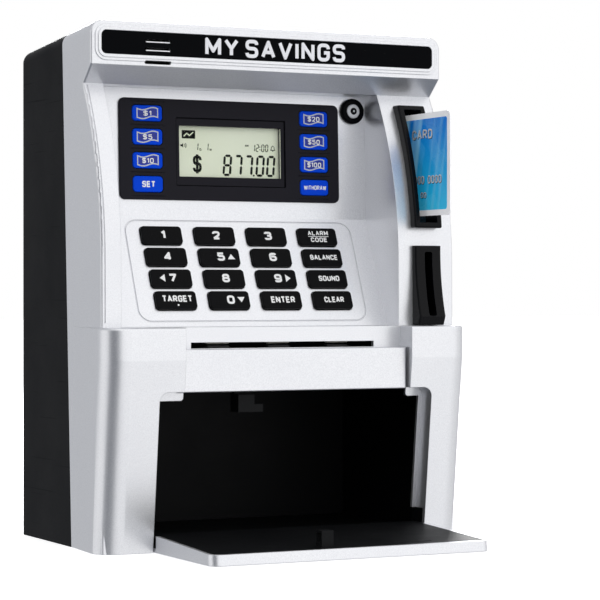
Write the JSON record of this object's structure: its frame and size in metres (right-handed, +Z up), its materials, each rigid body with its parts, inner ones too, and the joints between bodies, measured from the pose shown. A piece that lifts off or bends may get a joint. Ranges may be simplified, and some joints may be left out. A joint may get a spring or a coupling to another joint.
{
  "type": "toy cash-machine savings bank",
  "caption": "Upright toy cash machine that saves money: display and key panel, sloping keypad, card, coin and note slots, and a fold-down vault door.",
  "frame": {"origin": "middle of the flat underside, on the surface that the bank stands on", "axes": "+X to the right as seen from the front, +Y towards the back, +Z up"},
  "size_m": [0.2056, 0.189, 0.2649],
  "materials": {
    "silver_plastic": "fine-grained silver paint on moulded plastic",
    "black_shell": "satin black moulded plastic",
    "black_inner": "matt black moulded plastic",
    "gloss_black": "high-gloss black",
    "black_trim": "satin black",
    "charcoal_panel": "fine satin charcoal",
    "clear_window": "clear acrylic",
    "lcd_glass": "grey-green reflective display",
    "white_plastic": "gloss white",
    "rubber_grey": "moulded rubber",
    "circuit_board": "green circuit board",
    "speaker_black": "paper cone",
    "bright_steel": "plated steel",
    "nylon_white": "natural nylon",
    "battery_jacket": "plain printed jacket",
    "card_print": "printed plastic card, blue with a white border",
    "key_black": "satin black keycaps",
    "key_blue": "bright blue keycaps"
  },
  "bodies": {
    "cabinet": {"front_housing": "silver_plastic", "rear_shell": "black_shell", "base_plate": "black_shell", "housing_screws": "bright_steel", "header_plaque": "gloss_black", "screen_fascia": "charcoal_panel", "lcd_window": "clear_window", "lcd_panel": "lcd_glass", "camera_bezel": "gloss_black", "camera_lens": "white_plastic", "card_slot_bezel": "black_trim", "coin_slot_bezel": "black_trim", "bill_slot_panel": "silver_plastic", "keypad_membrane": "rubber_grey", "keypad_board": "circuit_board", "control_board": "circuit_board", "speaker": "speaker_black", "coin_chute": "black_inner", "card_guide": "black_inner", "vault_liner": "black_inner", "hinge_pins": "black_inner", "latch_solenoid": "bright_steel", "feed_frame": "black_inner", "bill_motor": "bright_steel", "battery_box": "black_inner", "batteries": "battery_jacket", "battery_contacts": "bright_steel"},
    "door": {"vault_door": "silver_plastic", "door_liner": "black_inner"},
    "card": {"play_card": "card_print"},
    "latch": {"latch_bolt": "black_inner"},
    "feed_roller": {"drive_roller": "rubber_grey", "drive_gear": "nylon_white"},
    "pinion": {"motor_pinion": "nylon_white"},
    "idler": {"idler_roller": "nylon_white"},
    "battery_hatch": {"battery_cover": "black_shell"},
    "key_1_body": {"key_1": "key_black"},
    "key_2_body": {"key_2": "key_black"},
    "key_3_body": {"key_3": "key_black"},
    "key_alarm_body": {"key_alarm": "key_black"},
    "key_4_body": {"key_4": "key_black"},
    "key_5_body": {"key_5": "key_black"},
    "key_6_body": {"key_6": "key_black"},
    "key_balance_body": {"key_balance": "key_black"},
    "key_7_body": {"key_7": "key_black"},
    "key_8_body": {"key_8": "key_black"},
    "key_9_body": {"key_9": "key_black"},
    "key_sound_body": {"key_sound": "key_black"},
    "key_target_body": {"key_target": "key_black"},
    "key_0_body": {"key_0": "key_black"},
    "key_enter_body": {"key_enter": "key_black"},
    "key_clear_body": {"key_clear": "key_black"},
    "cash_key_1_body": {"cash_key_1": "key_blue"},
    "cash_key_5_body": {"cash_key_5": "key_blue"},
    "cash_key_10_body": {"cash_key_10": "key_blue"},
    "key_set_body": {"key_set": "key_blue"},
    "cash_key_20_body": {"cash_key_20": "key_blue"},
    "cash_key_50_body": {"cash_key_50": "key_blue"},
    "cash_key_100_body": {"cash_key_100": "key_blue"},
    "key_withdraw_body": {"key_withdraw": "key_blue"}
  },
  "joints": [
    {"name": "door_hinge", "type": "hinge", "parent": "cabinet", "child": "door", "pos_m": [0, -0.04838, 0.0055], "axis": [-1, 0, 0], "range_deg": [0, 83.6]},
    {"name": "card_slide", "type": "slide", "parent": "cabinet", "child": "card", "axis": [0, -1, 0], "range_m": [-0.025, 0.085]},
    {"name": "latch_throw", "type": "slide", "parent": "cabinet", "child": "latch", "axis": [1, 0, 0], "range_m": [0, 0.005]},
    {"name": "feed_roller_spin", "type": "hinge", "parent": "cabinet", "child": "feed_roller", "pos_m": [0, -0.042, 0.0978], "axis": [1, 0, 0], "continuous": true},
    {"name": "pinion_spin", "type": "hinge", "parent": "cabinet", "child": "pinion", "pos_m": [-0.075, -0.02913, 0.0978], "axis": [1, 0, 0], "continuous": true},
    {"name": "idler_spin", "type": "hinge", "parent": "cabinet", "child": "idler", "pos_m": [0, -0.042, 0.10575], "axis": [1, 0, 0], "continuous": true},
    {"name": "battery_cover_pull", "type": "slide", "parent": "cabinet", "child": "battery_hatch", "axis": [0, 1, 0], "range_m": [0, 0.03]},
    {"name": "key_1_press", "type": "slide", "parent": "cabinet", "child": "key_1_body", "axis": [0, 0.9193, -0.3935], "range_m": [0, 0.0012], "stiffness_N_per_m": 400},
    {"name": "key_2_press", "type": "slide", "parent": "cabinet", "child": "key_2_body", "axis": [0, 0.9193, -0.3935], "range_m": [0, 0.0012], "stiffness_N_per_m": 400},
    {"name": "key_3_press", "type": "slide", "parent": "cabinet", "child": "key_3_body", "axis": [0, 0.9193, -0.3935], "range_m": [0, 0.0012], "stiffness_N_per_m": 400},
    {"name": "key_alarm_press", "type": "slide", "parent": "cabinet", "child": "key_alarm_body", "axis": [0, 0.9193, -0.3935], "range_m": [0, 0.0012], "stiffness_N_per_m": 400},
    {"name": "key_4_press", "type": "slide", "parent": "cabinet", "child": "key_4_body", "axis": [0, 0.9193, -0.3935], "range_m": [0, 0.0012], "stiffness_N_per_m": 400},
    {"name": "key_5_press", "type": "slide", "parent": "cabinet", "child": "key_5_body", "axis": [0, 0.9193, -0.3935], "range_m": [0, 0.0012], "stiffness_N_per_m": 400},
    {"name": "key_6_press", "type": "slide", "parent": "cabinet", "child": "key_6_body", "axis": [0, 0.9193, -0.3935], "range_m": [0, 0.0012], "stiffness_N_per_m": 400},
    {"name": "key_balance_press", "type": "slide", "parent": "cabinet", "child": "key_balance_body", "axis": [0, 0.9193, -0.3935], "range_m": [0, 0.0012], "stiffness_N_per_m": 400},
    {"name": "key_7_press", "type": "slide", "parent": "cabinet", "child": "key_7_body", "axis": [0, 0.9193, -0.3935], "range_m": [0, 0.0012], "stiffness_N_per_m": 400},
    {"name": "key_8_press", "type": "slide", "parent": "cabinet", "child": "key_8_body", "axis": [0, 0.9193, -0.3935], "range_m": [0, 0.0012], "stiffness_N_per_m": 400},
    {"name": "key_9_press", "type": "slide", "parent": "cabinet", "child": "key_9_body", "axis": [0, 0.9193, -0.3935], "range_m": [0, 0.0012], "stiffness_N_per_m": 400},
    {"name": "key_sound_press", "type": "slide", "parent": "cabinet", "child": "key_sound_body", "axis": [0, 0.9193, -0.3935], "range_m": [0, 0.0012], "stiffness_N_per_m": 400},
    {"name": "key_target_press", "type": "slide", "parent": "cabinet", "child": "key_target_body", "axis": [0, 0.9193, -0.3935], "range_m": [0, 0.0012], "stiffness_N_per_m": 400},
    {"name": "key_0_press", "type": "slide", "parent": "cabinet", "child": "key_0_body", "axis": [0, 0.9193, -0.3935], "range_m": [0, 0.0012], "stiffness_N_per_m": 400},
    {"name": "key_enter_press", "type": "slide", "parent": "cabinet", "child": "key_enter_body", "axis": [0, 0.9193, -0.3935], "range_m": [0, 0.0012], "stiffness_N_per_m": 400},
    {"name": "key_clear_press", "type": "slide", "parent": "cabinet", "child": "key_clear_body", "axis": [0, 0.9193, -0.3935], "range_m": [0, 0.0012], "stiffness_N_per_m": 400},
    {"name": "cash_key_1_press", "type": "slide", "parent": "cabinet", "child": "cash_key_1_body", "axis": [0, 0.9994, -0.0333], "range_m": [0, 0.001], "stiffness_N_per_m": 400},
    {"name": "cash_key_5_press", "type": "slide", "parent": "cabinet", "child": "cash_key_5_body", "axis": [0, 0.9994, -0.0333], "range_m": [0, 0.001], "stiffness_N_per_m": 400},
    {"name": "cash_key_10_press", "type": "slide", "parent": "cabinet", "child": "cash_key_10_body", "axis": [0, 0.9994, -0.0333], "range_m": [0, 0.001], "stiffness_N_per_m": 400},
    {"name": "key_set_press", "type": "slide", "parent": "cabinet", "child": "key_set_body", "axis": [0, 0.9994, -0.0333], "range_m": [0, 0.001], "stiffness_N_per_m": 400},
    {"name": "cash_key_20_press", "type": "slide", "parent": "cabinet", "child": "cash_key_20_body", "axis": [0, 0.9994, -0.0333], "range_m": [0, 0.001], "stiffness_N_per_m": 400},
    {"name": "cash_key_50_press", "type": "slide", "parent": "cabinet", "child": "cash_key_50_body", "axis": [0, 0.9994, -0.0333], "range_m": [0, 0.001], "stiffness_N_per_m": 400},
    {"name": "cash_key_100_press", "type": "slide", "parent": "cabinet", "child": "cash_key_100_body", "axis": [0, 0.9994, -0.0333], "range_m": [0, 0.001], "stiffness_N_per_m": 400},
    {"name": "key_withdraw_press", "type": "slide", "parent": "cabinet", "child": "key_withdraw_body", "axis": [0, 0.9994, -0.0333], "range_m": [0, 0.001], "stiffness_N_per_m": 400}
  ],
  "couplings": [
    {"joint": "pinion_spin", "follows": "feed_roller_spin", "ratio": -2.4},
    {"joint": "idler_spin", "follows": "feed_roller_spin", "ratio": -1.6071}
  ]
}
